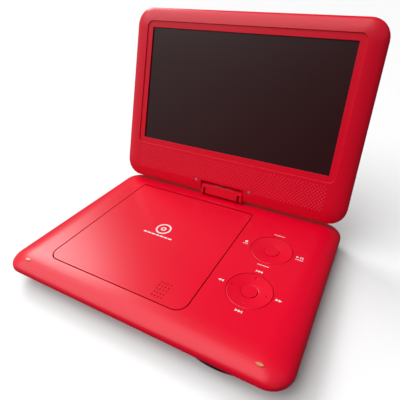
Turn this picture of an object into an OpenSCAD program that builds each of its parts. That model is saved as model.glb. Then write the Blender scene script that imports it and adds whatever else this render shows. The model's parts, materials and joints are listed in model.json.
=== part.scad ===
// Portable DVD player with a screen that tilts and swivels.
// X runs to the user's right, Y from the front lip to the back, Z up from the table.
// The origin is on the table, below the middle of the player as it stands open.

/* [Base] */
// Width of the base and of the screen half
body_w = 242; // [236:1:248]
// Depth of the base from its front lip to its back edge
base_d = 178.5; // [176:0.5:182]
// Height of the deck above the table
base_h = 24; // [24:0.5:26]
// Height of the rubber feet
foot_h = 1.5; // [1:0.1:2]
// Corner radius of both halves, seen from above
corner_r = 17; // [14:1:20]
// Thickness of the moulded walls
wall = 2; // [1.8:0.1:2.2]

/* [Screen] */
// Height of the screen half from its hinge edge to its top edge
screen_h = 175.5; // [174:0.5:180]
// Thickness of the screen half
screen_t = 17; // [17:0.5:19]
// Width of the picture
picture_w = 199.2; // [190:0.1:202]
// Height of the picture
picture_h = 112; // [107:0.1:114]
// Distance from the hinge edge to the picture
picture_rise = 44.5; // [43:0.5:46]
// Angle between the deck and the screen as the player stands
open_angle = 106.5; // [95:0.5:125]

/* [Hinge] */
// Distance of the tilt axis from the back edge of the base
hinge_inset = 10; // [9.5:0.1:10.5]
// Distance of the tilt axis from the hinge edge of the screen
screen_inset = 6.5; // [6.2:0.1:7]
// Depth of the tilt axis behind the face of the screen
hinge_depth = 7; // [7:0.1:7.5]
// Gap between the deck and the screen when shut
shut_gap = 1.2; // [1:0.1:1.5]
// Width of the notch in the screen's hinge edge
notch_w = 47.4; // [47:0.1:49]
// Height of that notch
notch_h = 12.5; // [12.3:0.1:13.5]

/* [Disc lid] */
// Width of the disc lid
lid_w = 127.2; // [126:0.1:129]
// Depth of the disc lid
lid_d = 132.6; // [131:0.1:134]
// Middle of the lid, to the left of the player's middle
lid_x = -23.9; // [-25:0.1:-22]
// Distance from the front lip to the lid
lid_inset = 19.5; // [19:0.5:21]
// Corner radius at the lid's front
lid_r = 8.8; // [7:0.1:10]

/* [Keys] */
// Distance of both round keys from the player's middle
key_x = 73; // [71:0.5:75]
// Radius of a round key's ring
key_r = 17.4; // [16:0.1:18]
// Radius of the button in its middle
button_r = 6.1; // [5.5:0.1:6.5]
// Distance from the front lip to the upper key
upper_inset = 110; // [107:0.5:112]
// Distance from the front lip to the lower key
lower_inset = 59.9; // [57:0.1:62]

/* [Hidden] */

// Colours
case_red = [0.80, 0.03, 0.07];
dark = [0.08, 0.08, 0.09];
steel = [0.70, 0.71, 0.73];
rubber = [0.12, 0.12, 0.12];
board_green = [0.05, 0.32, 0.16];
white_plastic = [0.86, 0.86, 0.84];
brass = [0.78, 0.62, 0.30];
amber = [0.85, 0.62, 0.45];
yellow = [0.75, 0.65, 0.10];
film_blue = [0.15, 0.22, 0.45];
glass_black = [0.03, 0.02, 0.03];
lens_blue = [0.35, 0.45, 0.65];

// Working clearances: between moving bodies, and round shafts
body_gap = 0.3;
shaft_gap = 0.05;
board_t = 1.2;

// Soft edges: how far in they start and how far they fall, for the deck, the
// screen's back, the underside and the screen's face
edge_in = 22;
edge_drop = 8;
under_in = 14;
under_front = 21;
face_in = 16;
face_drop = 6;
edge_steps = 9;
hair = 0.02;

// Tilt of the screen, and where its axis lies
lean = open_angle - 90;
back_depth = screen_t - hinge_depth;
screen_top = screen_h - screen_inset;
hinge_z = base_h + shut_gap + hinge_depth;

// The leaning screen reaches behind its axis by this much; the origin is midway
screen_reach = (screen_top - edge_in) * sin(lean) + (back_depth - edge_drop) * cos(lean)
    + norm([edge_in * sin(lean), edge_drop * cos(lean)]);
base_front = -(base_d - hinge_inset + screen_reach) / 2;
base_back = base_front + base_d;
base_y = (base_front + base_back) / 2;
hinge_y = base_back - hinge_inset;

// Levels in the base
seam_z = base_h - 9;
floor_z = foot_h + wall;
skin_z = base_h - wall;

// Disc lid
lid_t = 2.2;
lid_gap = 0.9;
lid_bottom = base_h - lid_t;
lid_front = base_front + lid_inset;
lid_back = lid_front + lid_d;
lid_y = (lid_front + lid_back) / 2;
lid_back_r = 3;
lid_axis_y = lid_back - lid_t;
lid_pin_r = 1;
barrel_w = lid_w - 2 * lid_back_r - 0.4;
boss_x = lid_w / 2 + lid_gap + 2.2;

// Latch, lid switch and lift plunger
latch_x = lid_x + 40;
latch_tip = lid_front + 2;
hook_w = 8;
switch_at = [lid_x + 54, lid_front + 12];
plunger_at = [lid_x - 52, lid_front + 10];
plunger_r = 2;

// Disc drive, about the middle of the disc
disc_x = lid_x;
disc_y = lid_y;
well_r = 61.5;
well_top = lid_bottom - 0.7;
well_floor = base_h - 9;
hub_r = 7.4;
seat_z = well_floor + 2.8;
sled_start = 24;
sled_travel = 32;
sled_x = disc_x - sled_start;
frame_z = 6.5;
frame_t = 1.5;
rod_r = 1.5;
rod_y = 19;
rod_z = 11.5;
screw_y = 26;
screw_z = 8.4;
screw_pitch = 3;
journal_r = 0.7;

// Keys and their board
key_gap = 0.35;
button_gap = 0.3;
upper_y = base_front + upper_inset;
lower_y = base_front + lower_inset;
button_board_z = 17.6;
button_board_w = 44;
dome_r = 2;
dome_z = button_board_z + 1.6;
dome_reach = 13.5;
key_bottom = dome_z + 0.9;
key_dish = 1.3;

// Boards in the base
board_z = 13;
board_x0 = 46;
board_x1 = 112;
board_y0 = base_front + 22;
board_y1 = hinge_y - 17.5;
side_board_z = 5.8;

// Sockets in the side walls
port_z = 9.5;
usb_z = 10.3;
card_z = 9.3;
socket_x = body_w / 2 - 1.5;
knob_x = body_w / 2 - 0.2;
usb_y = base_front + 60;
card_y = base_front + 88;
power_y = hinge_y - 27.5;
dc_y = power_y - 20;
av_y = dc_y - 18;
phone_a_y = av_y - 18;
phone_b_y = phone_a_y - 14;
jack_r = 1.8;
jack_nose = 3;
jack_depth = 14;
dc_nose = 3.4;

// Screws and small parts of the base
case_screw_r = 1.3;
bracket_screw_x = 12;
bracket_screw_y = hinge_y - 9;
bracket_plate_z = floor_z + 2.5;
bumper_x = 100;
bumper_y = base_front + 9.2;
bumper_w = 5.4;
bumper_d = 2.3;
bumper_arc_r = (bumper_w * bumper_w + bumper_d * bumper_d) / (4 * bumper_d);
bumper_z = base_h - 3.2;
window_z = 12.9;

// Hinge: two steel leaves rise from the base into slots of the block, which turns about them.
// A leaf slants back from its round head, then stands upright between these two depths.
leaf_x = 19.25;
leaf_t = 1.5;
leaf_r = 3.2;
stem_front = 1.6;
stem_back = 5.6;
web_z = [13.5, 17];
shaft_r = 2;
shaft_end = 21.4;
slot_in = leaf_x - leaf_t / 2 - 0.9;
slot_out = leaf_x + leaf_t / 2 + body_gap;
block_w = notch_w - 1;
block_half = 6;
block_r = 8.9;
block_top = 4.3;
washer_r = 3.2;
washer_in = slot_in + 0.1;
swivel_r = 3.5;
notch_z = notch_h - screen_inset;
ceiling_t = 1.8;
tongue_z = notch_z + 2;
tongue_t = 1.5;

// Picture and screws, in the screen's own frame
picture_mid = picture_rise - screen_inset + picture_h / 2;
frame_margin = 6;
recess = 1;
screen_mid = screen_h / 2 - screen_inset;
panel_margin = 3.5;
panel_back = hinge_depth - wall - 1.7;
notch_screw_x = 29.6;
notch_screw_z = notch_z - 0.3;

// ---------- shared shapes ----------

module round_rect(w, d, r) {
    square([w - 2 * r, d], center = true);
    square([w, d - 2 * r], center = true);
    for (x = [-1, 1], y = [-1, 1])
        translate([x * (w / 2 - r), y * (d / 2 - r)]) circle(r, $fn = 48);
}

// A cylinder along Z, from z upwards
module rod(r, h, z = 0) {
    translate([0, 0, z]) cylinder(r = r, h = h, $fn = 48);
}

// A cylinder along X, from x0 to x1
module rod_x(r, x0, x1) {
    translate([x0, 0, 0]) rotate([0, 90, 0]) cylinder(r = r, h = x1 - x0, $fn = 48);
}

module tube(outer, inner, h, z = 0) {
    difference() {
        rod(outer, h, z);
        rod(inner, h + 2, z - 1);
    }
}

// A box about its middle
module block(size, at) {
    translate(at) cube(size, center = true);
}

// A plate with rounded corners, from z upwards
module plate(w, d, r, h, z) {
    translate([0, 0, z]) linear_extrude(h) round_rect(w, d, r);
}

// One thin slice of a soft body
module slice(w, d, r, z) {
    translate([0, 0, z]) linear_extrude(hair)
        offset(r = r, $fn = 32) square([w - 2 * r, d - 2 * r], center = true);
}

// A body whose upper edge falls away along a quarter of an ellipse
module pillow(w, d, r, inset, drop, top, bottom) {
    hull() {
        slice(w, d, r, bottom);
        for (i = [0:edge_steps]) {
            a = 90 * i / edge_steps;
            in = inset * (1 - cos(a));
            z = top - drop + drop * sin(a) - hair;
            slice(w - 2 * in, d - 2 * in, max(r - 0.6 * in, 3), z);
        }
    }
}

// A coil spring standing on z = 0, its wire swept along a helix
module coil(r, wire, h, turns) {
    sides = 8;
    rings = turns * 12;
    function out(a) = [cos(a), sin(a), 0];
    function centre(i) = r * out(360 * turns * i / rings)
        + [0, 0, wire + (h - 2 * wire) * i / rings];
    function point(i, b) = centre(i)
        + wire * (cos(b) * out(360 * turns * i / rings) + [0, 0, sin(b)]);
    function patch(i, j, k) = [i * sides + k, i * sides + j, (i + 1) * sides + j, (i + 1) * sides + k];
    polyhedron(
        points = [for (i = [0:rings], j = [0:sides - 1]) point(i, 360 * j / sides)],
        faces = concat(
            [[for (j = [0:sides - 1]) j]],
            [for (i = [0:rings - 1], j = [0:sides - 1]) patch(i, j, (j + 1) % sides)],
            [[for (j = [sides - 1:-1:0]) rings * sides + j]]));
}

// Children at each [x, y] of a list
module at_spots(spots) {
    for (s = spots) translate([s[0], s[1], 0]) children();
}

module at_disc() {
    translate([disc_x, disc_y, 0]) children();
}

// Children about the lid's hinge axis
module at_lid_axis() {
    translate([lid_x, lid_axis_y, lid_bottom]) children();
}

// Children about the screen's tilt axis, in the base's frame
module at_hinge() {
    translate([0, hinge_y, hinge_z]) children();
}

// Children in the screen's frame: z up the screen, y into it, origin on the tilt axis
module on_screen() {
    at_hinge() rotate([-lean, 0, 0]) children();
}

// Lays a shape that is drawn flat against the screen, its top towards the viewer
module facing_front(z = 0) {
    translate([0, 0, z]) rotate([90, 0, 0]) children();
}

module facing_back(z = 0) {
    translate([0, 0, z]) rotate([-90, 0, 0]) children();
}

// Children at each [x, z] of a list, facing the viewer or away from them
module front_spots(spots) {
    for (s = spots) translate([s[0], 0, s[1]]) facing_front() children();
}

module back_spots(spots) {
    for (s = spots) translate([s[0], 0, s[1]]) facing_back() children();
}

// Children and their mirror image
module both_sides() {
    children();
    mirror([1, 0, 0]) children();
}

// ---------- places of repeated parts ----------

function case_screw_spots() = [for (x = [-104, 104], y = [base_front + 29, hinge_y - 13.5]) [x, y]];
function foot_spots() = [for (x = [-88, 88], y = [base_front + 31, hinge_y - 19.5]) [x, y]];
function bracket_screw_spots() = [for (x = [-1, 1]) [x * bracket_screw_x, bracket_screw_y]];
function bushing_spots() = [for (x = [disc_x - 66, disc_x + 20], y = [-34, 34]) [x, disc_y + y]];
function bumper_spots() = [for (x = [-bumper_x, bumper_x]) [x, bumper_y]];
function key_spots() = [[key_x, upper_y], [key_x, lower_y]];
function button_column_spots() =
    [for (x = [-19, 19], y = [lower_y - 19, upper_y + 19]) [key_x + x, y]];
function board_post_spots() = [for (y = [board_y0 + 6, board_y1 - 6]) [50, y]];
function side_post_spots() = [for (y = [usb_y - 8, card_y + 13]) [-102, y]];
function notch_screw_spots() = [for (x = [-1, 1]) [x * notch_screw_x, notch_screw_z]];
function cover_screw_spots() = [for (x = [-110, 110], z = [24, screen_top - 30]) [x, z]];
function bracket_spots() = [for (x = [-26, 26], z = [13, 21]) [x, z]];

// ---------- base ----------

// Takes the corner off a rectangle and leaves a quarter round; sx and sy point inwards
module corner_cut(x, y, sx, sy, r) {
    difference() {
        translate([x + sx * (r / 2 - 1), y + sy * (r / 2 - 1)]) square(r + 2, center = true);
        translate([x + sx * r, y + sy * r]) circle(r, $fn = 48);
        translate([x + sx * (r + 5), y + sy * r / 2]) square([10, 4 * r], center = true);
        translate([x + sx * r / 2, y + sy * (r + 5)]) square([4 * r, 10], center = true);
    }
}

// The lid's outline, with smaller corners at its back
module lid_outline(grow) {
    w = lid_w + 2 * grow;
    d = lid_d + 2 * grow;
    difference() {
        square([w, d], center = true);
        for (side = [-1, 1]) {
            corner_cut(side * w / 2, -d / 2, -side, 1, lid_r + grow);
            corner_cut(side * w / 2, d / 2, -side, -1, lid_back_r + grow);
        }
    }
}

// Solid outline of the top case, shrunk by a wall for its hollow
module deck_body(shrink, top, bottom) {
    translate([0, base_y, 0])
        pillow(body_w - 2 * shrink, base_d - 2 * shrink, corner_r - shrink,
            edge_in, edge_drop, top, bottom);
}

// Pointed oval of a closing bumper, seen from above: where two circles overlap
module bumper_outline(grow) {
    offset_y = bumper_arc_r - bumper_d / 2;
    intersection() {
        translate([0, offset_y]) circle(bumper_arc_r + grow, $fn = 96);
        translate([0, -offset_y]) circle(bumper_arc_r + grow, $fn = 96);
    }
}

// Blocks beside the lid that hold the outer ends of its pins
module lid_pin_bosses() {
    for (side = [-1, 1])
        block([4.4, 5.2, 3.4], [lid_x + side * boss_x, lid_axis_y, skin_z - 1.4]);
}

// Slots at the deck's back edge, through which the hinge leaves rise
module leaf_slots() {
    both_sides() block([leaf_t + 2 * body_gap, stem_back - stem_front + 2 * body_gap, 30],
        [leaf_x, hinge_y + (stem_front + stem_back) / 2, seam_z + 10]);
}

// Columns under the deck: four for the case screws, four for the button board
module deck_columns() {
    at_spots(case_screw_spots()) rod(3.4, skin_z - 8.8, 9.1);
    at_spots(button_column_spots())
        rod(2, skin_z - button_board_z - 1, button_board_z + board_t);
}

// Rails that guide the latch, and a rib behind its spring
module latch_guides() {
    for (x = [-6.9, 6.9]) block([1.2, 7.6, 5.6], [latch_x + x, latch_tip - 6.6, skin_z - 2.6]);
    block([8, 1.6, 6.4], [latch_x, latch_tip - 14.2, 17]);
}

module base_top_case() color(case_red) difference() {
    union() {
        difference() {
            deck_body(0, base_h, seam_z);
            deck_body(wall, skin_z, seam_z - 1);
        }
        lid_pin_bosses();
        deck_columns();
        latch_guides();
    }
    translate([lid_x, lid_y, lid_bottom - 3]) linear_extrude(lid_t + 5) lid_outline(lid_gap);
    at_spots(key_spots()) rod(key_r + key_gap, 10, base_h - 5);
    at_lid_axis() rod_x(lid_pin_r, -boss_x - 1.8, boss_x + 1.8);
    leaf_slots();
    at_spots(bumper_spots()) translate([0, 0, bumper_z]) linear_extrude(6) bumper_outline(0.05);
    at_spots(case_screw_spots()) rod(case_screw_r, 8, 9);
}

// Solid outline of the lower case: rounded at the sides and back, cut back in a
// straight slope at the front
module under_body(shrink, top, bottom) {
    translate([0, base_y, 0]) hull() {
        for (i = [0:edge_steps]) {
            a = 90 * i / edge_steps;
            in = shrink + under_in * (1 - cos(a));
            front_in = shrink + under_front * sin(a);
            z = bottom + (seam_z - bottom) * (1 - sin(a)) - (i == 0 ? hair : 0);
            translate([0, (front_in - in) / 2, 0])
                slice(body_w - 2 * in, base_d - in - front_in, max(corner_r - 0.6 * in, 3), z);
        }
        slice(body_w - 2 * shrink, base_d - 2 * shrink, corner_r - shrink, top - hair);
    }
}

// Openings in the side walls: round sockets and power knob right, USB and card left
module socket_holes() {
    for (y = [phone_a_y, phone_b_y, av_y])
        translate([0, y, port_z]) rod_x(jack_nose + 0.2, socket_x - 10, socket_x + 10);
    translate([0, dc_y, port_z]) rod_x(dc_nose + 0.2, socket_x - 10, socket_x + 10);
    block([20, 11, 3.4], [body_w / 2, power_y, port_z]);
    block([20, 13.8, 6.2], [-body_w / 2, usb_y, usb_z]);
    block([20, 26.8, 3.8], [-body_w / 2, card_y, card_z]);
}

module vent_slots() {
    for (i = [0:7]) block([30, 2.2, 10], [lid_x, lid_y - 42 + 6 * i, foot_h]);
}

// Posts that rise from the lower case's floor to the parts they carry
module floor_posts() {
    root = floor_z - 0.4;
    at_spots(case_screw_spots()) rod(4, 9 - root, root);
    at_spots(bracket_screw_spots()) rod(3.5, bracket_plate_z - root, root);
    at_spots(bushing_spots()) rod(4.4, 1.4, root);
    at_spots(board_post_spots()) rod(3, board_z - root, root);
    at_spots(side_post_spots()) rod(2.5, side_board_z - root, root);
}

module base_bottom_case() color(case_red) difference() {
    union() {
        difference() {
            under_body(body_gap, seam_z - 0.05, foot_h);
            under_body(wall + body_gap, seam_z + 2, floor_z);
        }
        floor_posts();
    }
    socket_holes();
    vent_slots();
    at_spots(case_screw_spots()) {
        rod(case_screw_r + 0.1, 20, 0);
        rod(3.2, 2.5, 0);
    }
    at_spots(bracket_screw_spots()) rod(1.5, 6, floor_z);
    block([46.4, 20, 4.3], [key_x, base_front + 6, window_z]);
}

// Bowed window under the front lip, for the remote control's beam
module ir_window() color(dark) intersection() {
    translate([key_x, base_front + 60.8, 0]) cylinder(r = 60, h = 30, $fn = 96);
    block([46, 18, 3.9], [key_x, base_front + 6.8, window_z]);
}

// Tray under the lid, with a round well for the disc
module disc_well() color(dark) difference() {
    translate([lid_x, lid_y, 0]) difference() {
        plate(lid_w + 5, lid_d + 5, 6, skin_z - well_floor + 1.9, well_floor - 2);
        rod(well_r, 20, well_floor);
        translate([0, 0, well_top]) linear_extrude(5) lid_outline(lid_gap);
    }
    at_disc() rod(16.5, 20, well_floor - 5);
    sled_window();
    // front rim lies under the deck's falling edge
    block([lid_w + 12, 8, 4], [lid_x, lid_front - lid_gap - 3.9, skin_z + 1.4]);
    // room for the lid's back barrel, its hook and the latch
    block([lid_w + 12, 7, 10], [lid_x, lid_axis_y + 0.5, 23.5]);
    block([18, 12, 20], [latch_x, lid_front + 1.5, well_floor + 5]);
    // lift plunger's guide and lid switch
    at_spots([plunger_at]) rod(plunger_r + 0.1, 20, well_floor + 0.8);
    block([9, 7, 20], [switch_at[0], switch_at[1], well_top + 4]);
}

module sled_window() {
    length = sled_start + sled_travel + 12;
    block([length, 50, 10], [disc_x - length / 2, disc_y, well_floor]);
}

// Rubber pads that the shut screen rests on
module closing_bumpers() color(amber) at_spots(bumper_spots())
    translate([0, 0, bumper_z]) linear_extrude(base_h - 1 - bumper_z) bumper_outline(0);

module rubber_feet() color(rubber) at_spots(foot_spots()) {
    cylinder(r1 = 6, r2 = 6.8, h = foot_h / 2, $fn = 48);
    rod(6.8, foot_h / 2, foot_h / 2);
}

module case_screws() color(steel) at_spots(case_screw_spots()) {
    rod(2.8, 1, foot_h);
    rod(case_screw_r, 14, foot_h + 0.9);
}

module bracket_screws() color(steel) at_spots(bracket_screw_spots()) {
    rod(2.6, 1, bracket_plate_z + frame_t);
    rod(1.5, 3.6, floor_z + 0.5);
}

// Outline of a hinge leaf above the base, looking along X, about the tilt axis
module leaf_outline() {
    lean_r = leaf_r / sqrt(2);
    foot = web_z[0] - hinge_z;
    circle(leaf_r, $fn = 48);
    polygon([
        [-lean_r, -lean_r],
        [stem_front, -stem_front - 2 * lean_r],
        [stem_front, foot],
        [stem_back, foot],
        [stem_back, 2 * lean_r - stem_back],
        [lean_r, lean_r]]);
}

// Steel saddle: a plate screwed down in the base and the two leaves that rise from it
module hinge_bracket() color(steel) {
    plate_y = hinge_y - 7.5;
    web_back = hinge_y + stem_back;
    difference() {
        block([40, 13, leaf_t], [0, plate_y, bracket_plate_z + leaf_t / 2]);
        at_spots(bracket_screw_spots()) rod(1.7, 20, 0);
    }
    both_sides() difference() {
        union() {
            at_hinge() translate([leaf_x, 0, 0])
                rotate([90, 0, 90]) linear_extrude(leaf_t, center = true) leaf_outline();
            block([leaf_t, web_back - plate_y + 5.5, web_z[1] - web_z[0]],
                [leaf_x, (web_back + plate_y - 5.5) / 2, (web_z[0] + web_z[1]) / 2]);
            block([leaf_t, 11, web_z[1] - bracket_plate_z],
                [leaf_x, plate_y, (web_z[1] + bracket_plate_z) / 2]);
        }
        at_hinge() rod_x(shaft_r + shaft_gap, slot_in, slot_out);
    }
}

module lid_hinge_pins() color(steel) at_lid_axis()
    both_sides() rod_x(lid_pin_r, barrel_w / 2 - 4, boss_x + 1.6);

// Switch that feels whether the lid is shut
module lid_switch() color(dark) {
    block([7, 5, 4], [switch_at[0], switch_at[1], well_top - 4]);
    block([1.4, 2.4, 2.4], [switch_at[0], switch_at[1], well_top - 0.8]);
}

// ---------- disc drive ----------

// Plate on rubber bushings that carries the rods, the screw and its motor
module traverse_frame() color(steel) difference() {
    union() {
        block([96, 77, frame_t], [disc_x - 23, disc_y, frame_z + frame_t / 2]);
        for (x = [disc_x - 68.5, disc_x - 14], y = [-rod_y, rod_y])
            block([3, 6, 6.5], [x, disc_y + y, 11]);
        block([3, 7, 4], [disc_x - 68.5, disc_y + screw_y, 9]);
    }
    at_disc() rod(12.3, 30, 0);
    // window under the sled, open round the screw and its motor
    block([46, 30, 10], [disc_x - 42, disc_y, 7]);
    block([66.8, 10, 10], [disc_x - 33.6, disc_y + screw_y, 5]);
    block([18.8, 10, 20], [disc_x - 4.4, disc_y + screw_y, 8]);
    at_spots(bushing_spots()) rod(2.2, 20, 0);
    for (y = [-rod_y, rod_y]) translate([disc_x, disc_y + y, rod_z]) rod_x(rod_r, -80, 0);
    translate([disc_x, disc_y + screw_y, screw_z]) rod_x(journal_r + shaft_gap, -80, -60);
}

module guide_rods() color(steel)
    for (y = [-rod_y, rod_y]) translate([disc_x, disc_y + y, rod_z]) rod_x(rod_r, -70, -12.5);

module damper_bushings() color(rubber) at_spots(bushing_spots()) {
    tube(4.2, 1, 1.9, floor_z + 1);
    tube(2.1, 1, 1.6, floor_z + 2.9);
}

module spindle_motor() color(steel) at_disc() difference() {
    union() {
        rod(12, 9.6, floor_z + 1);
        plate(30, 30, 3, 1, 8.1);
    }
    rod(rod_r + shaft_gap, 30, 6);
    // the sled's near end and the screw motor pass beside the flange
    block([8, 40, 6], [-17, 0, 10]);
}

module sled_motor() color(steel) translate([disc_x, disc_y + screw_y, screw_z]) difference() {
    rod_x(4.2, -12, 4);
    rod_x(journal_r + shaft_gap, -14, -6);
}

// ---------- boards and sockets ----------

// Main board on the right and a small board behind the left-hand sockets
module main_board() color(board_green) {
    difference() {
        translate([board_x0, board_y0, board_z])
            cube([board_x1 - board_x0, board_y1 - board_y0, board_t]);
        at_spots(case_screw_spots()) rod(4.6, 30, 0);
    }
    translate([-112.6, usb_y - 11, side_board_z]) cube([14.6, card_y - usb_y + 28, board_t]);
}

module main_chips() color(dark) {
    top = board_z + board_t;
    block([22, 22, 1.6], [74, board_y0 + 50, top + 0.8]);
    block([14, 12, 1.2], [96, board_y0 + 64, top + 0.6]);
    block([8, 6, 1.6], [60, board_y0 + 84, top + 0.8]);
    for (i = [0:3]) translate([56 + 9 * i, board_y0 + 104, 0]) rod(3, 2.4, top);
}

module button_board() color(board_green)
    translate([key_x - button_board_w / 2, lower_y - button_board_w / 2, button_board_z])
        cube([button_board_w, upper_y - lower_y + button_board_w, board_t]);

// Four children on a cross about a key's middle
module four_ways(reach) {
    for (a = [0:90:270]) rotate(a) translate([reach, 0, 0]) children();
}

// Snap domes: four under each ring and one under each middle button
module button_domes() color(steel) {
    base = button_board_z + board_t;
    at_spots(key_spots()) {
        rod(dome_r, dome_z - base, base);
        four_ways(dome_reach) rod(dome_r, dome_z - base, base);
    }
}

module battery_pack() color(film_blue)
    translate([77, base_front + 84, 0]) plate(42, 100, 3, 8.4, floor_z + 0.1);

// Round socket: a nose in the side wall and a body under the main board
module round_socket(y, nose_r, hole_r, depth) {
    difference() {
        union() {
            translate([0, y, port_z]) rod_x(nose_r, socket_x - 8, socket_x);
            block([9, 7, 6.8], [socket_x - 12, y, port_z]);
        }
        translate([0, y, port_z]) rod_x(hole_r, socket_x - depth, socket_x + 1);
    }
}

module headphone_jack_a() color(dark) round_socket(phone_a_y, jack_nose, jack_r, jack_depth);

module headphone_jack_b() color(dark) round_socket(phone_b_y, jack_nose, jack_r, jack_depth);

module av_jack() color(yellow) round_socket(av_y, jack_nose, jack_r, jack_depth);

module dc_jack() color(dark) {
    round_socket(dc_y, dc_nose, 2.85, 9.5);
    translate([0, dc_y, port_z]) rod_x(0.65, socket_x - 10, socket_x - 1);
}

module usb_port() color(steel) {
    difference() {
        block([14, 13.2, 5.8], [7.5 - socket_x, usb_y, usb_z]);
        block([13, 12.5, 5.1], [6.5 - socket_x, usb_y, usb_z]);
    }
    // contact tongue
    block([9, 11, 1.8], [9 - socket_x, usb_y, usb_z + 1.65]);
}

module card_slot() color(steel) difference() {
    block([17, 26.2, 3.2], [9 - socket_x, card_y, card_z]);
    block([16, 24.4, 2.3], [7.5 - socket_x, card_y, card_z]);
}

module power_switch() color(dark) difference() {
    block([5, 14, 6.4], [socket_x - 9, power_y, port_z]);
    block([3, 9, 2.6], [socket_x - 7, power_y, port_z]);
}

// Knob in the side wall, with a stem that reaches into the switch
module power_slider() color(case_red) {
    block([3.4, 5.4, 3], [knob_x - 1.7, power_y - 1.5, port_z]);
    block([6, 3, 1.6], [knob_x - 5.2, power_y - 1.5, port_z]);
}

// ---------- lid, latch and lift plunger ----------

// Hook that hangs from the lid in front of the latch
module lid_hook() {
    block([hook_w, 1.6, 6.4], [latch_x, latch_tip + 1.6, lid_bottom - 2.8]);
    block([hook_w, 1.4, 1.2], [latch_x, latch_tip + 1, lid_bottom - 5.4]);
}

// What is cut from the lid's back edge to make it round about the hinge axis
module lid_back_round() {
    side = lid_t + 1;
    at_lid_axis() difference() {
        block([lid_w + 2, side, side], [0, side / 2, side / 2]);
        rod_x(lid_t, -lid_w, lid_w);
    }
}

// Dimples under the thumb, over the latch
module thumb_dimples() {
    for (i = [0:3], j = [0:4])
        block([1.3, 1.5, 1], [latch_x - 4.2 + 2.8 * i, lid_front + 4.5 + 3.3 * j, base_h]);
}

module disc_lid() color(case_red) difference() {
    union() {
        translate([lid_x, lid_y, lid_bottom]) linear_extrude(lid_t) lid_outline(0);
        at_lid_axis() rod_x(lid_t, -barrel_w / 2, barrel_w / 2);
        lid_hook();
    }
    lid_back_round();
    at_lid_axis() {
        rod_x(lid_pin_r + shaft_gap, -lid_w, lid_w);
        both_sides() rod_x(lid_pin_r + 0.4, barrel_w / 2, lid_w);
    }
    thumb_dimples();
}

// Catch under the deck's front edge, with a tail that meets its spring
module lid_latch() color(dark) {
    block([12, 8, 1.4], [latch_x, latch_tip - 4, lid_bottom - 4]);
    block([6, 2, 4], [latch_x, latch_tip - 7, lid_bottom - 6]);
}

module latch_spring() color(steel)
    translate([latch_x, latch_tip - 13.2, lid_bottom - 6.2]) rotate([-90, 0, 0])
        coil(1.4, 0.25, 4.8, 5);

// Pin under the lid that helps it up
module lift_plunger() color(white_plastic) at_spots([plunger_at])
    rod(plunger_r, lid_bottom - 0.1 - 17.6, 17.6);

module lift_spring() color(steel) at_spots([plunger_at])
    translate([0, 0, well_floor + 0.9]) coil(1.5, 0.2, 1.6, 2);

// ---------- keys ----------

// Dished top of a ring key
module ring_dish() {
    inner = button_r + button_gap;
    rim = base_h + 0.05;
    rotate_extrude($fn = 96) polygon([
        [inner, base_h - 1.8],
        [key_r, base_h - 1.8],
        [key_r, rim - 0.3],
        [key_r - 0.4, rim],
        [inner + 0.4, rim - key_dish],
        [inner, rim - key_dish - 0.2]]);
}

// Ring key with a stepped foot over four snap domes
module ring_key() {
    difference() {
        union() {
            ring_dish();
            rod(key_r, base_h - 1.7 - key_bottom - 1, key_bottom + 1);
            rod(key_r + 1.2, 1.2, key_bottom + 0.4);
            four_ways(dome_reach) rod(1.5, 2, key_bottom);
        }
        rod(button_r + button_gap, 20, key_bottom - 1);
        rod(button_r + 2.3, base_h - 2 - key_bottom, key_bottom - 0.2);
    }
}

module round_button() {
    rod(1.5, 2, key_bottom);
    rod(button_r, base_h - key_dish - key_bottom + 0.1, key_bottom + 0.2);
    rod(button_r + 1.3, 0.5, key_bottom + 0.2);
}

module mode_ring() color(case_red) at_spots([key_spots()[0]]) ring_key();

// Ring with small sunk arrowheads, one for each direction
module nav_ring() color(case_red) at_spots([key_spots()[1]]) difference() {
    ring_key();
    four_ways(14) translate([0, 0, base_h - 0.8]) linear_extrude(2)
        polygon([[-1.1, -1.4], [1.1, 0], [-1.1, 1.4]]);
}

module mode_button() color(case_red) at_spots([key_spots()[0]]) round_button();

module ok_button() color(case_red) at_spots([key_spots()[1]]) round_button();

// ---------- moving drive parts ----------

module spindle_rotor() color(dark) at_disc() {
    rod(rod_r, seat_z - floor_z - 4, floor_z + 4);
    rod(15, 1.2, seat_z - 1.2);
}

// Hub that the disc snaps over
module hub_cap() color(steel) at_disc() {
    rod(hub_r, 2, seat_z);
    translate([0, 0, seat_z + 2]) cylinder(r1 = hub_r, r2 = hub_r - 1.2, h = 0.8, $fn = 48);
}

// Laser carriage on the two rods, with a nut over the screw
module pickup_sled() color(dark) difference() {
    union() {
        block([16, 44, 4.6], [sled_x, disc_y, 11.7]);
        block([5, 8, 2.2], [sled_x, disc_y + 24, 11.3]);
    }
    for (y = [-rod_y, rod_y])
        translate([sled_x, disc_y + y, rod_z]) rod_x(rod_r + shaft_gap, -20, 20);
    translate([sled_x, disc_y, 0]) rod(3.6, 20, 11);
}

module pickup_lens() color(lens_blue) translate([sled_x, disc_y, 0]) {
    rod(3.2, 2, 12.2);
    translate([0, 0, 14.2]) cylinder(r1 = 3.2, r2 = 2, h = 1, $fn = 48);
}

// Threaded shaft, drawn as a row of thread crests
module lead_screw() color(brass) translate([disc_x, disc_y + screw_y, screw_z]) {
    rod_x(journal_r, -69.5, -8);
    rod_x(1, -66.5, -13);
    for (i = [0:17]) rod_x(1.4, screw_pitch * i - 66, screw_pitch * i - 64.8);
}

// ---------- hinge block ----------

// Cross section of the block, looking along X: y into the screen, z up the screen
module block_section() {
    shoulder = 2.2;
    intersection() {
        circle(block_r, $fn = 96);
        polygon([
            [-block_half, -12],
            [block_half, -12],
            [block_half, shoulder],
            [4, block_top],
            [-1.5, block_top],
            [-block_half, shoulder]]);
    }
}

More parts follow.
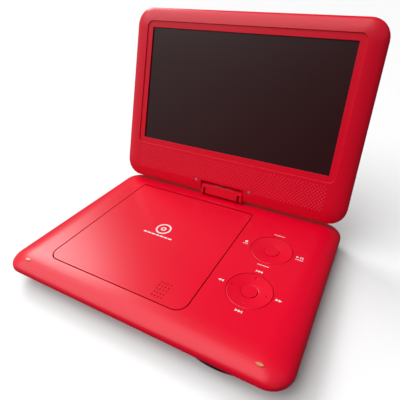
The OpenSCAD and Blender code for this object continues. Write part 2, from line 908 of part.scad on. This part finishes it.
// What a hinge leaf needs free of the block, looking along X: room for its round head,
// for its slanting edge when the screen is shut, and for its back when the screen leans
module leaf_sweep() {
    head = leaf_r + body_gap;
    lip_z = body_gap - stem_front;
    reach = 14;
    circle(head, $fn = 48);
    polygon([
        [-reach, -reach],
        [-reach, lip_z],
        [-head * sqrt(2) + lip_z, lip_z],
        [-head / sqrt(2), head / sqrt(2)],
        [0, head],
        [stem_back - 0.4, head - body_gap],
        [reach, -6.7],
        [reach, -reach]]);
}

// Plastic shell round the steel core, with a slot for each leaf; its ends are round, so
// that the notch of the screen can swivel about them
module block_shell() {
    difference() {
        intersection() {
            rotate([90, 0, 90]) linear_extrude(block_w, center = true) block_section();
            translate([0, 0, -20]) cylinder(r = notch_w / 2 - 0.35, h = 40, $fn = 128);
        }
        block([25.4, 9.4, 8.2], [0, 0, -1]);
        rod_x(shaft_r + 0.1, -shaft_end - 0.2, shaft_end + 0.2);
        both_sides() translate([slot_in, 0, 0])
            rotate([90, 0, 90]) linear_extrude(slot_out - slot_in) leaf_sweep();
        rod(swivel_r + 0.15, 10, 0);
        block([6, 6, 10], [0, 0, -8]);
    }
}

module hinge_block_front() color(case_red) on_screen() intersection() {
    block_shell();
    block([60, 10, 40], [0, -5.02, 0]);
}

module hinge_block_rear() color(case_red) on_screen() intersection() {
    block_shell();
    block([60, 10, 40], [0, 5.02, 0]);
}

// Steel heart where the tilt shafts and the swivel shaft meet
module hinge_core() color(steel) on_screen() difference() {
    block([25, 9, 7.8], [0, 0, -1]);
    rod_x(shaft_r, -20, 20);
    rod(swivel_r, 20, -10);
}

module tilt_shafts() color(steel) on_screen() both_sides() difference() {
    rod_x(shaft_r, 4, shaft_end);
    rod(swivel_r + 0.2, 20, -10);
}

module tilt_washers() color(brass) on_screen() both_sides() difference() {
    rod_x(washer_r, washer_in, washer_in + 0.6);
    rod_x(shaft_r, 0, 30);
}

// Hollow shaft that the screen turns on, with a flange and a groove for its clip
module swivel_shaft() color(steel) on_screen() difference() {
    union() {
        rod(swivel_r, 16.6, -4.8);
        rod(5, 1.2, block_top + 0.1);
    }
    rod(2.2, 40, -10);
    tube(5, swivel_r - 0.5, 0.9, tongue_z + 1.7);
}

module swivel_clip() color(steel) on_screen()
    tube(4.4, swivel_r - 0.45, 0.8, tongue_z + 1.75);

// ---------- screen ----------

// The notch in the hinge edge, or the same with its walls
module notch(grow = 0) {
    h = notch_h + 20 + grow;
    block([notch_w + 2 * grow, 60, h], [0, 0, notch_z + grow - h / 2]);
}

module screen_front(shrink, bottom) {
    facing_front(screen_mid)
        pillow(body_w - 2 * shrink, screen_h - 2 * shrink, corner_r - shrink, face_in, face_drop,
            hinge_depth - shrink, bottom);
}

module screen_back(shrink, bottom) {
    facing_back(screen_mid)
        pillow(body_w - 2 * shrink, screen_h - 2 * shrink, corner_r - shrink, edge_in, edge_drop,
            back_depth - shrink, bottom);
}

// Window for the picture and the shallow step round it
module picture_opening() {
    facing_front(picture_mid) {
        plate(picture_w + 2 * frame_margin, picture_h + 2 * frame_margin, 6, 5,
            hinge_depth - recess);
        block([picture_w, picture_h, 20], [0, 0, 0]);
    }
}

module screen_bezel() color(case_red) on_screen() difference() {
    union() {
        difference() {
            screen_front(0, -0.45);
            difference() {
                screen_front(wall, -2);
                notch(ceiling_t);
            }
        }
        front_spots(notch_screw_spots()) rod(2.6, 6.5, -0.4);
        front_spots(cover_screw_spots()) rod(3, 5.2, -0.4);
    }
    notch();
    picture_opening();
    rod(swivel_r + 0.7, 20, 0);
    front_spots(cover_screw_spots()) rod(1.2, 5, -1);
    front_spots(notch_screw_spots()) {
        rod(0.8, 20, -5);
        rod(1.5, 2, hinge_depth - 1.2);
    }
}

module screen_rear_cover() color(case_red) on_screen() difference() {
    union() {
        difference() {
            screen_back(0, 0.45);
            difference() {
                screen_back(wall, -2);
                notch(ceiling_t);
            }
        }
        back_spots(bracket_spots()) rod(2.8, 3, 6.1);
        back_spots(cover_screw_spots()) rod(3.6, 8, 0.45);
    }
    notch();
    rod(swivel_r + 0.7, 20, 0);
    back_spots(cover_screw_spots()) {
        rod(1.3, 20, 0);
        rod(2.6, 6, 4.5);
    }
    back_spots(bracket_spots()) rod(1.1, 2.6, 6);
}

// A slab behind the picture, from its back face towards the viewer
module picture_slab(t, back) {
    facing_front(picture_mid)
        block([picture_w + 2 * panel_margin, picture_h + 2 * panel_margin, t],
            [0, 0, back + t / 2]);
}

module lcd_panel() color(glass_black) on_screen() picture_slab(1.4, panel_back);

module lcd_backlight() color(white_plastic) on_screen() picture_slab(4.6, panel_back - 4.7);

module lcd_board() color(board_green) on_screen() facing_front(picture_mid)
    block([110, 60, board_t], [0, 0, -3.4]);

// Flat loudspeaker behind the dotted band: frame with a coned recess
module speaker(x) {
    on_screen() translate([x, -1.2, 18.5]) facing_front() difference() {
        plate(42, 20, 9.9, 3.6, 0);
        translate([0, 0, 1.4]) cylinder(r1 = 3, r2 = 8.5, h = 2.4, $fn = 48);
    }
}

module speaker_left() color(dark) speaker(-72);

module speaker_right() color(dark) speaker(72);

// Steel bracket: a tongue that turns on the swivel shaft and a leaf on the rear cover
module swivel_bracket() color(steel) on_screen() difference() {
    union() {
        block([34, 10.4, tongue_t], [0, 0.8, tongue_z + tongue_t / 2]);
        block([60, 1.4, 17], [0, 5.3, tongue_z + 8.5]);
    }
    rod(swivel_r + 0.06, 20, 0);
    back_spots(bracket_spots()) rod(1.2, 20, 0);
}

module screen_screws() color(steel) on_screen() {
    front_spots(notch_screw_spots()) {
        rod(1.4, 0.8, hinge_depth - 1.1);
        rod(0.75, 5, hinge_depth - 6);
    }
    back_spots(cover_screw_spots()) {
        rod(2.4, 1, 4.5);
        rod(1.2, 8, -3.4);
    }
    back_spots(bracket_spots()) {
        rod(2, 0.9, 3.7);
        rod(1.1, 4, 4.5);
    }
}

// Cable from the hinge core up through the hollow swivel shaft to the driver board
module display_cable() color(dark) on_screen() {
    bend = [0, 3.4, 9];
    bend_z = 25;
    rod(1.2, bend_z + 4, -4);
    translate([0, 0, bend_z]) sphere(1.3, $fn = 32);
    translate([0, 0, bend_z]) rotate([-atan(bend[1] / bend[2]), 0, 0]) rod(1.15, norm(bend));
    translate([0, 0, bend_z] + bend) sphere(1.3, $fn = 32);
    translate([0, bend[1], 0]) rod(1.2, picture_mid - 30.3 - bend_z - bend[2], bend_z + bend[2]);
}

base_top_case();
base_bottom_case();
disc_well();
ir_window();
closing_bumpers();
rubber_feet();
case_screws();
bracket_screws();
hinge_bracket();
lid_hinge_pins();
lid_switch();
traverse_frame();
guide_rods();
damper_bushings();
spindle_motor();
sled_motor();
main_board();
main_chips();
button_board();
button_domes();
battery_pack();
headphone_jack_a();
headphone_jack_b();
av_jack();
dc_jack();
usb_port();
card_slot();
power_switch();
disc_lid();
lid_latch();
latch_spring();
lift_plunger();
lift_spring();
nav_ring();
ok_button();
mode_ring();
mode_button();
power_slider();
spindle_rotor();
hub_cap();
pickup_sled();
pickup_lens();
lead_screw();
hinge_block_front();
hinge_block_rear();
hinge_core();
tilt_shafts();
tilt_washers();
swivel_shaft();
swivel_clip();
screen_bezel();
screen_rear_cover();
lcd_panel();
lcd_backlight();
lcd_board();
speaker_left();
speaker_right();
swivel_bracket();
screen_screws();
display_cable();
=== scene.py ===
"""Looks for the portable DVD player: materials, printed marks, studio light and camera."""

import json
import math

import bmesh
import bpy
from mathutils import Matrix, Vector


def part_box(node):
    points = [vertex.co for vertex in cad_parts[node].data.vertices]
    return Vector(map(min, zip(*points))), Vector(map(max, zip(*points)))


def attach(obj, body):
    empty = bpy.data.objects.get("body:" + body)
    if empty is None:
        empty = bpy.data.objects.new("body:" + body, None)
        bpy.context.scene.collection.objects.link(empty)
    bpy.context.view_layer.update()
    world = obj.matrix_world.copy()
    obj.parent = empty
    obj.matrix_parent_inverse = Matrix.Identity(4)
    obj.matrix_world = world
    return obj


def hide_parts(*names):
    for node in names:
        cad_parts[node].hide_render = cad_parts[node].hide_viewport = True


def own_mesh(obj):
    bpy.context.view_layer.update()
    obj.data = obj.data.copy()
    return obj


MM = 0.001
UP = Vector((0, 0, 1))

# Camera, worked out against the object's own corners. Angles are in degrees; the azimuth is the
# bearing it looks in. Focal length and shift are shares of the picture's width.
CAMERA_AT = Vector((133.3, -230.5, 220.4)) * MM
CAMERA_AZIMUTH = 27.2
CAMERA_DROP = 30.5
CAMERA_ROLL = 0.1
FOCAL_SHARE = 0.89225
SHIFT_SHARES = (-0.02725, -0.029)
SENSOR_WIDTH = 36
CLIP_DISTANCES = (0.01, 50)

# The light: two broad soft sources on the left, a weak one at the front right, and a room that
# is bright on the left as well.
# Bearings are measured in degrees from straight behind the player, to its left.
SOURCES = {
    "window": {"bearing": 64, "height": 40, "strength": 1.2, "spread": 22},
    "softbox": {"bearing": 130, "height": 57, "strength": 2.0, "spread": 64},
    "fill": {"bearing": 225, "height": 60, "strength": 0.25, "spread": 70},
}
BRIGHT_BEARING = 110
BRIGHT_HEIGHT = 35
BRIGHT_EDGE = 0.45  # cosine of the angle at which the bright side ends
ROOM_DIM = 0.09
ROOM_BRIGHT = 0.65
FLOOR_SIZE = 30

# Edges flatter than this are shaded smooth, and corners closer than this are joined for it
SMOOTH_BELOW = math.radians(24)
JOIN_WITHIN = 0.002 * MM

# Printed ink stands a little proud of its face and reaches a little into it
INK_PROUD = 0.04 * MM
INK_SUNK = 0.02 * MM

# A loudspeaker bead: its sides, and the radius and rise of its rings in millimetres
BEAD_SIDES = 8
BEAD_RINGS = ((0.62, -0.1), (0.62, 0.1), (0.34, 0.42))


# ---------- shader helpers ----------

class Graph:
    """One material's node tree, with its Principled shader and short ways to add nodes."""

    def __init__(self, name, color, roughness, metallic=0.0):
        self.material = bpy.data.materials.new(name)
        self.material.use_nodes = True
        self.tree = self.material.node_tree
        self.shader = self.tree.nodes["Principled BSDF"]
        self.set("Base Color", (*color, 1))
        self.set("Roughness", roughness)
        self.set("Metallic", metallic)
        self.place = self.node("ShaderNodeTexCoord").outputs["Object"]

    def set(self, socket, value):
        self.shader.inputs[socket].default_value = value

    def node(self, kind, **inputs):
        made = self.tree.nodes.new(kind)
        for socket, value in inputs.items():
            self.feed(made.inputs[socket.replace("_", " ")], value)
        return made

    def feed(self, socket, value):
        if isinstance(value, bpy.types.NodeSocket):
            self.tree.links.new(value, socket)
        else:
            socket.default_value = value

    def operate(self, kind, operation, *values):
        made = self.tree.nodes.new(kind)
        made.operation = operation
        for socket, value in zip(made.inputs, values):
            self.feed(socket, value)
        return made.outputs[0]

    def noise(self, scale, detail, stretch=(1, 1, 1)):
        """Grain with about scale lumps to the metre; stretch multiplies that along each axis."""
        place = self.operate("ShaderNodeVectorMath", "MULTIPLY", self.place, stretch)
        made = self.node("ShaderNodeTexNoise", Vector=place, Scale=scale, Detail=detail)
        return made.outputs["Fac"]

    def between(self, factor, low, high):
        made = self.node("ShaderNodeMapRange", Value=factor, To_Min=low, To_Max=high)
        return made.outputs["Result"]

    def mix(self, factor, a, b):
        """From colour a where the factor is 0 to colour b where it is 1."""
        made = self.tree.nodes.new("ShaderNodeMix")
        made.data_type = "RGBA"
        self.feed(made.inputs["Factor"], factor)
        self.feed(made.inputs["A"], (*a, 1))
        self.feed(made.inputs["B"], (*b, 1))
        return made.outputs["Result"]

    def color(self, value):
        self.feed(self.shader.inputs["Base Color"], value)

    def roughness(self, value):
        self.feed(self.shader.inputs["Roughness"], value)

    def bump(self, height, strength, distance, normal=None):
        """Relief of the distance given in metres, on top of the normal given."""
        made = self.node("ShaderNodeBump", Height=height, Strength=strength, Distance=distance)
        if normal is not None:
            self.feed(made.inputs["Normal"], normal)
        self.feed(self.shader.inputs["Normal"], made.outputs["Normal"])

    def soft_edges(self, radius):
        return self.node("ShaderNodeBevel", Radius=radius).outputs["Normal"]


# ---------- places, all taken from the frame ----------

def middle(node):
    low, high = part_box(node)
    return (low + high) / 2


def joint(name):
    return next(j for j in frame["joints"] if j["name"] == name)


class Screen:
    """The leaning screen's own axes: across, up its face, and into it."""

    def __init__(self):
        swivel = joint("screen_swivel")
        self.origin = Vector(swivel["pos_m"])
        self.up = Vector(swivel["axis"]).normalized()
        self.across = Vector((1, 0, 0))
        self.inward = self.up.cross(self.across)


# ---------- materials ----------

RED = (0.8, 0.0008, 0.024)
DEEP_RED = (0.77, 0.0007, 0.022)


def red_graph(name, low, high, scale, detail):
    """Satin red surface, mottled between two tones."""
    g = Graph(name, RED, 0.28)
    g.set("Specular IOR Level", 0.37)
    g.color(g.mix(g.noise(scale, detail), low, high))
    g.roughness(g.between(g.noise(60, 5), 0.27, 0.3))
    return g


def red_plastic():
    """Moulded plastic: fine spark-eroded grain, faint mottling and softened edges."""
    g = red_graph("red_plastic", DEEP_RED, RED, 18, 4)
    g.bump(g.noise(2600, 2), 0.25, 0.04 * MM, g.soft_edges(0.35 * MM))
    return g.material


def red_lacquer():
    """Steel painted a darker red than the case, for the hinge parts that show in the notch."""
    g = red_graph("red_lacquer", (0.5, 0.0004, 0.012), (0.6, 0.0006, 0.016), 220, 4)
    g.bump(g.noise(700, 3), 0.25, 0.06 * MM, g.soft_edges(0.2 * MM))
    return g.material


def bead_highlight_plastic():
    """The case's plastic in a paler tone, a painted highlight that makes the loudspeaker beads show as light
    specks.
    """
    g = red_graph("bead_highlight_plastic", (0.88, 0.025, 0.07), (0.95, 0.045, 0.1), 150, 3)
    g.bump(g.noise(2600, 2), 0.2, 0.03 * MM)
    return g.material


def dark_plastic():
    color = (0.018, 0.018, 0.02)
    g = Graph("dark_plastic", color, 0.5)
    paler = tuple(c * 1.6 + 0.004 for c in color)
    g.color(g.mix(g.noise(90, 4), color, paler))
    g.roughness(g.between(g.noise(45, 4), 0.42, 0.6))
    g.bump(g.noise(1900, 3), 0.35, 0.08 * MM, g.soft_edges(0.2 * MM))
    return g.material


def steel():
    """Brushed sheet steel with fine lines along X and a few duller patches."""
    g = Graph("steel", (0.6, 0.6, 0.62), 0.3, 1.0)
    g.color(g.mix(g.noise(70, 5), (0.5, 0.5, 0.52), (0.7, 0.7, 0.71)))
    lines = g.noise(300, 6, (0.6, 14, 14))
    g.roughness(g.between(lines, 0.22, 0.42))
    g.bump(lines, 0.2, 0.04 * MM, g.soft_edges(0.15 * MM))
    return g.material


def rubber():
    color = (0.022, 0.022, 0.022)
    g = Graph("rubber", color, 0.75)
    dusty = tuple(c * 1.5 + 0.01 for c in color)
    g.color(g.mix(g.noise(260, 5), color, dusty))
    g.bump(g.noise(3200, 2), 0.4, 0.06 * MM, g.soft_edges(0.25 * MM))
    return g.material


def circuit_board():
    """Green solder mask over a faint net of copper tracks."""
    g = Graph("circuit_board", (0.02, 0.16, 0.07), 0.35)
    cells = g.node("ShaderNodeTexVoronoi", Vector=g.place, Scale=420.0)
    cells.distance = "CHEBYCHEV"
    cells.feature = "F1"
    track = g.operate("ShaderNodeMath", "GREATER_THAN", cells.outputs["Distance"], 0.52)
    g.color(g.mix(track, (0.012, 0.11, 0.045), (0.035, 0.24, 0.1)))
    g.bump(track, 0.3, 0.03 * MM, g.soft_edges(0.1 * MM))
    return g.material


def white_plastic():
    g = Graph("white_plastic", (0.78, 0.78, 0.75), 0.45)
    g.color(g.mix(g.noise(40, 4), (0.7, 0.7, 0.67), (0.82, 0.82, 0.8)))
    g.bump(g.noise(1500, 2), 0.2, 0.05 * MM, g.soft_edges(0.2 * MM))
    return g.material


def brass():
    g = Graph("brass", (0.72, 0.5, 0.2), 0.3, 1.0)
    g.color(g.mix(g.noise(120, 4), (0.62, 0.42, 0.16), (0.78, 0.58, 0.26)))
    g.roughness(g.between(g.noise(500, 5, (1, 8, 8)), 0.22, 0.4))
    return g.material


def bumper_rubber():
    """Slightly clear, amber silicone."""
    g = Graph("bumper_rubber", (0.75, 0.26, 0.14), 0.35)
    g.set("Subsurface Weight", 0.3)
    g.set("Subsurface Radius", (0.002, 0.001, 0.0006))
    g.color(g.mix(g.noise(500, 4), (0.66, 0.2, 0.1), (0.82, 0.3, 0.17)))
    g.bump(g.noise(1800, 2), 0.2, 0.05 * MM, g.soft_edges(0.3 * MM))
    return g.material


def display():
    """Switched-off panel: near black with a faint red cast, and a satin anti-glare face."""
    g = Graph("display", (0.03, 0.004, 0.006), 0.2)
    g.color(g.mix(g.noise(9, 2), (0.026, 0.003, 0.005), (0.036, 0.006, 0.007)))
    g.roughness(g.between(g.noise(25, 5), 0.2, 0.26))
    g.bump(g.noise(4000, 2), 0.05, 0.01 * MM)
    return g.material


def window_dark():
    g = Graph("window_dark", (0.006, 0.003, 0.004), 0.08)
    g.color(g.mix(g.noise(60, 3), (0.004, 0.002, 0.003), (0.014, 0.004, 0.006)))
    g.roughness(g.between(g.noise(200, 5), 0.06, 0.14))
    return g.material


def battery_wrap():
    """Blue shrink film with shallow wrinkles."""
    g = Graph("battery_wrap", (0.03, 0.07, 0.25), 0.3)
    wrinkles = g.noise(90, 6, (0.4, 2, 1))
    g.color(g.mix(wrinkles, (0.02, 0.05, 0.2), (0.05, 0.1, 0.33)))
    g.bump(wrinkles, 0.4, 0.4 * MM)
    return g.material


def lens_glass():
    g = Graph("lens_glass", (0.35, 0.5, 0.8), 0.04)
    g.set("Transmission Weight", 0.6)
    g.set("Coat Weight", 0.6)
    g.color(g.mix(g.noise(800, 2), (0.28, 0.42, 0.75), (0.45, 0.6, 0.85)))
    return g.material


def yellow_plastic():
    g = Graph("yellow_plastic", (0.7, 0.5, 0.03), 0.4)
    g.color(g.mix(g.noise(300, 3), (0.62, 0.42, 0.02), (0.76, 0.56, 0.05)))
    g.bump(g.noise(1800, 2), 0.2, 0.05 * MM)
    return g.material


def white_ink():
    """Pad-printed ink, a little thin in places."""
    g = Graph("white_ink", (0.85, 0.8, 0.78), 0.5)
    g.color(g.mix(g.noise(2400, 3), (0.82, 0.62, 0.6), (0.92, 0.9, 0.88)))
    g.bump(g.noise(3000, 2), 0.15, 0.02 * MM)
    return g.material


def paint_nodes():
    """Gives every CAD node the material of its slot; two nodes have one of their own."""
    made = {
        "case_red": red_plastic(),
        "dark_plastic": dark_plastic(),
        "steel": steel(),
        "rubber": rubber(),
        "board": circuit_board(),
        "white_plastic": white_plastic(),
        "brass": brass(),
        "bumper": bumper_rubber(),
        "display": display(),
        "ir_dark": window_dark(),
        "battery_wrap": battery_wrap(),
        "lens": lens_glass(),
        "av_yellow": yellow_plastic(),
    }
    lacquer = red_lacquer()
    special = {"swivel_shaft": lacquer, "hinge_bracket": lacquer}
    for part in frame["record"]["subparts"]:
        name = part["node"]
        piece = frame["nodes"][name]
        piece.data.materials.clear()
        piece.data.materials.append(special.get(name, made[part["material_slot"]]))


# ---------- smooth shading ----------

def smoothing_group():
    """Geometry nodes that join split corners and shade smooth across the flatter edges."""
    group = bpy.data.node_groups.new("smooth_by_angle", "GeometryNodeTree")
    group.interface.new_socket("Geometry", in_out="INPUT", socket_type="NodeSocketGeometry")
    group.interface.new_socket("Geometry", in_out="OUTPUT", socket_type="NodeSocketGeometry")
    nodes, links = group.nodes, group.links
    start = nodes.new("NodeGroupInput")
    end = nodes.new("NodeGroupOutput")
    drop = nodes.new("GeometryNodeRemoveAttribute")
    drop.inputs["Name"].default_value = "custom_normal"
    merge = nodes.new("GeometryNodeMergeByDistance")
    merge.inputs["Distance"].default_value = JOIN_WITHIN
    faces = nodes.new("GeometryNodeSetShadeSmooth")
    faces.inputs["Shade Smooth"].default_value = True
    edges = nodes.new("GeometryNodeSetShadeSmooth")
    edges.domain = "EDGE"
    edges.inputs["Shade Smooth"].default_value = False
    angle = nodes.new("GeometryNodeInputMeshEdgeAngle")
    sharp = nodes.new("FunctionNodeCompare")
    sharp.operation = "GREATER_THAN"
    sharp.inputs["B"].default_value = SMOOTH_BELOW
    links.new(start.outputs[0], drop.inputs["Geometry"])
    links.new(drop.outputs["Geometry"], merge.inputs["Geometry"])
    links.new(merge.outputs["Geometry"], faces.inputs["Geometry"])
    links.new(faces.outputs["Geometry"], edges.inputs["Geometry"])
    links.new(angle.outputs["Unsigned Angle"], sharp.inputs["A"])
    links.new(sharp.outputs["Result"], edges.inputs["Selection"])
    links.new(edges.outputs["Geometry"], end.inputs[0])
    return group


def smooth_nodes():
    group = smoothing_group()
    for piece in frame["nodes"].values():
        piece.modifiers.new("smooth", "NODES").node_group = group
        weighted = piece.modifiers.new("weighted", "WEIGHTED_NORMAL")
        weighted.keep_sharp = True
        weighted.weight = 100


# ---------- objects of the scene's own ----------

def add_object(name, data):
    made = bpy.data.objects.new(name, data)
    bpy.context.scene.collection.objects.link(made)
    return made


def add_mesh(name, mesh, material):
    """Turns a finished bmesh into an object with one material."""
    bmesh.ops.recalc_face_normals(mesh, faces=mesh.faces[:])
    data = bpy.data.meshes.new(name)
    mesh.to_mesh(data)
    mesh.free()
    data.materials.append(material)
    return add_object(name, data)


# ---------- printed marks, all outlines in millimetres ----------

def bar(x, y, w, h):
    left, right = x - w / 2, x + w / 2
    low, high = y - h / 2, y + h / 2
    return [(left, low), (right, low), (right, high), (left, high)]


def arrow(x, y, size, side):
    """A triangle that points right where side is 1 and left where it is -1."""
    half = size / 2
    return [(x - side * half, y - half), (x + side * half, y), (x - side * half, y + half)]


def ring(x, y, outer, inner, steps=48):
    """A ring, as four-cornered patches."""
    patches = []
    for i in range(steps):
        a = math.radians(360 * i / steps)
        b = math.radians(360 * (i + 1) / steps)
        corners = ((inner, a), (outer, a), (outer, b), (inner, b))
        patches.append([(x + r * math.cos(t), y + r * math.sin(t)) for r, t in corners])
    return patches


def wind_mark(x, y, side, size):
    """Two arrows, one behind the other."""
    half = size / 2
    return [arrow(x - side * half, y, size, side), arrow(x + side * half, y, size, side)]


def skip_mark(x, y, side, size):
    """Two arrows and an end bar."""
    end_gap, end_width = 0.4, 0.55
    return [*wind_mark(x, y, side, size), bar(x + side * (size + end_gap), y, end_width, size)]


def play_mark(x, y, size):
    """An arrow and two upright bars."""
    arrow_x, bar_width = -1.9, 0.8
    bars = [bar(x + bar_x, y, bar_width, size) for bar_x in (0.6, 2.2)]
    return [arrow(x + arrow_x, y, size, 1), *bars]


def caption_dashes(x, y, count, length=1.5, gap=0.45, thick=0.75):
    """A row of short dashes in place of a printed word."""
    pitch = length + gap
    first = x - pitch * (count - 1) / 2
    return [bar(first + i * pitch, y, length, thick) for i in range(count)]


def print_marks(name, centre, shapes, ink, body):
    """Thin printed shapes on a level face, laid out about the centre."""
    mesh = bmesh.new()
    for outline in shapes:
        corners = [centre + Vector((x, y, 0)) * MM + UP * INK_PROUD for x, y in outline]
        mesh.faces.new([mesh.verts.new(corner) for corner in corners])
    bmesh.ops.remove_doubles(mesh, verts=mesh.verts, dist=0.001 * MM)
    made = bmesh.ops.extrude_face_region(mesh, geom=mesh.faces[:])
    lowered = [v for v in made["geom"] if isinstance(v, bmesh.types.BMVert)]
    bmesh.ops.translate(mesh, verts=lowered, vec=-UP * (INK_PROUD + INK_SUNK))
    piece = add_mesh(name, mesh, ink)
    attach(piece, body)


def key_marks(ink):
    """Generic playback symbols in the four directions round each key."""
    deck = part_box("disc_lid")[1].z
    beside, beyond = 23.2, 21.2
    symbol_y, caption_y = 1.2, -1.8
    upper_size, lower_size = 2.2, 2.3
    short_dash = 1.2
    play_x = beside + 0.4
    forward_x = beside - 1
    upper = middle("mode_button")
    lower = middle("ok_button")
    upper.z = lower.z = deck
    print_marks("upper_marks", upper, [
        *caption_dashes(0, beyond, 5),
        bar(-beside, symbol_y, upper_size, upper_size),
        *caption_dashes(-beside, caption_y, 3, short_dash),
        *play_mark(play_x, symbol_y, upper_size),
        *caption_dashes(play_x, caption_y, 4, short_dash),
        *caption_dashes(0, -beyond, 5),
    ], ink, "base")
    print_marks("lower_marks", lower, [
        *skip_mark(0, beyond, -1, lower_size),
        *wind_mark(-beside, 0, -1, lower_size),
        *wind_mark(forward_x, 0, 1, lower_size),
        *skip_mark(0, -beyond, 1, lower_size),
    ], ink, "base")


def lid_mark(ink):
    """A plain disc symbol: two rings over a row of dashes."""
    rings_y, dashes_y = 3, -7
    centre = middle("disc_lid") + Vector((0, 4 * MM, 0))
    centre.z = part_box("disc_lid")[1].z
    print_marks("lid_mark", centre, [
        *ring(0, rings_y, 7.2, 5.7),
        *ring(0, rings_y, 2.6, 1.3),
        *caption_dashes(0, dashes_y, 7, length=3.5, gap=0.8, thick=1.5),
    ], ink, "lid")


# ---------- loudspeaker beads ----------

def add_bead(mesh, foot, screen):
    """A low round bead that stands out of the screen's face, sunk a little at its foot."""
    rings = []
    for radius, rise in BEAD_RINGS:
        corners = []
        for i in range(BEAD_SIDES):
            turn = 2 * math.pi * i / BEAD_SIDES
            offset = screen.across * math.cos(turn) + screen.up * math.sin(turn)
            corners.append(mesh.verts.new(foot + (offset * radius - screen.inward * rise) * MM))
        rings.append(corners)
    for lower, upper in zip(rings, rings[1:]):
        for i in range(BEAD_SIDES):
            j = (i + 1) % BEAD_SIDES
            mesh.faces.new((lower[i], lower[j], upper[j], upper[i]))
    mesh.faces.new(rings[0])
    mesh.faces.new(rings[-1])


def speaker_beads(screen):
    """Staggered rows of beads across the foot of the screen, clear of its notch and screws."""
    bezel = frame["nodes"]["screen_bezel"]
    corners = [bezel.matrix_world @ v.co for v in bezel.data.vertices]
    face = min((corner - screen.origin).dot(screen.inward) for corner in corners)
    # Spacing of the beads, the field that they fill and the corner kept clear, in millimetres
    pitch, row = 3.3, 1.85
    half_width, low, high = 100, 5.6, 28.5
    notch_half, notch_top = 34, 9
    mesh = bmesh.new()
    for line in range(int((high - low) / row) + 1):
        height = low + line * row
        shift = pitch / 2 * (line % 2)
        for column in range(int(2 * half_width / pitch) + 1):
            across = -half_width + shift + column * pitch
            if abs(across) < notch_half and height < notch_top:
                continue
            offset = (screen.across * across + screen.up * height) * MM
            add_bead(mesh, screen.origin + offset + screen.inward * face, screen)
    # The beads' paler plastic is a painted highlight.
    piece = add_mesh("speaker_beads", mesh, bead_highlight_plastic())
    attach(piece, "screen")


# ---------- latch spring ----------

def squashing_spring():
    """Stands in for the latch's coil spring: a copy with a mesh of its own, fixed to the base, while the CAD
    spring is hidden.
    """
    node = frame["nodes"]["latch_spring"]
    piece = add_object("latch_coil", node.data.copy())
    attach(piece, "base")
    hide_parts("latch_spring")
    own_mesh(piece)


# ---------- studio ----------

def towards(bearing, height):
    """The direction of what lies at a bearing and a height, both in degrees."""
    turn = math.radians(bearing)
    rise = math.radians(height)
    level = math.cos(rise)
    return Vector((-math.sin(turn) * level, math.cos(turn) * level, math.sin(rise)))


def add_camera():
    data = bpy.data.cameras.new("camera")
    camera = add_object("camera", data)
    aim = towards(CAMERA_AZIMUTH, -CAMERA_DROP).to_track_quat("-Z", "Y").to_matrix()
    roll = Matrix.Rotation(math.radians(CAMERA_ROLL), 3, "Z")
    camera.matrix_world = Matrix.Translation(CAMERA_AT) @ (aim @ roll).to_4x4()
    data.sensor_width = SENSOR_WIDTH
    data.lens = SENSOR_WIDTH * FOCAL_SHARE
    data.shift_x, data.shift_y = SHIFT_SHARES
    data.clip_start, data.clip_end = CLIP_DISTANCES
    bpy.context.scene.camera = camera


def add_floor():
    """A very pale floor with a trace of paper grain."""
    bpy.ops.mesh.primitive_plane_add(size=FLOOR_SIZE)
    floor = bpy.context.object
    floor.name = "floor"
    g = Graph("floor_paper", (0.9, 0.9, 0.9), 0.7)
    g.color(g.mix(g.noise(40, 3), (0.94, 0.94, 0.94), (0.97, 0.97, 0.97)))
    floor.data.materials.append(g.material)
    # The floor throws no light on the player and doesn't show in its gloss
    floor.visible_diffuse = False
    floor.visible_glossy = False


def add_lights():
    for name, source in SOURCES.items():
        data = bpy.data.lights.new(name, "SUN")
        data.energy = source["strength"]
        data.angle = math.radians(source["spread"])
        light = add_object(name, data)
        light.rotation_mode = "QUATERNION"
        beam = -towards(source["bearing"], source["height"])
        light.rotation_quaternion = beam.to_track_quat("-Z", "Y")


def add_surroundings():
    """A dim room with a broad bright side."""
    world = bpy.data.worlds.new("room")
    world.use_nodes = True
    nodes, links = world.node_tree.nodes, world.node_tree.links
    place = nodes.new("ShaderNodeTexCoord")
    dot = nodes.new("ShaderNodeVectorMath")
    dot.operation = "DOT_PRODUCT"
    dot.inputs[1].default_value = towards(BRIGHT_BEARING, BRIGHT_HEIGHT)
    ramp = nodes.new("ShaderNodeMapRange")
    ramp.interpolation_type = "SMOOTHSTEP"
    ramp.inputs["From Min"].default_value = BRIGHT_EDGE
    ramp.inputs["From Max"].default_value = 1.0
    ramp.inputs["To Min"].default_value = ROOM_DIM
    ramp.inputs["To Max"].default_value = ROOM_BRIGHT
    links.new(place.outputs["Generated"], dot.inputs[0])
    links.new(dot.outputs["Value"], ramp.inputs["Value"])
    links.new(ramp.outputs["Result"], nodes["Background"].inputs["Strength"])
    nodes["Background"].inputs["Color"].default_value = (1, 1, 1, 1)
    bpy.context.scene.world = world
    bpy.context.scene.view_settings.view_transform = "Standard"


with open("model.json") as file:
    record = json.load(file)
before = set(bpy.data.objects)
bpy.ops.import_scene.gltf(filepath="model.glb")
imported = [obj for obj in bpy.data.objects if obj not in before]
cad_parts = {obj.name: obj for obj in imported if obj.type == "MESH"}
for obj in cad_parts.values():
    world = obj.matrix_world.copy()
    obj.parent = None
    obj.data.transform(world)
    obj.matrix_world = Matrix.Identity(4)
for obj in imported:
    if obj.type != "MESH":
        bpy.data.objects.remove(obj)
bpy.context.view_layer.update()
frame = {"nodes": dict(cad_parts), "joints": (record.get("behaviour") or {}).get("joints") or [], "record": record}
add_camera()
paint_nodes()
smooth_nodes()
mark_ink = white_ink()
key_marks(mark_ink)
lid_mark(mark_ink)
speaker_beads(Screen())
squashing_spring()
add_floor()
add_lights()
add_surroundings()
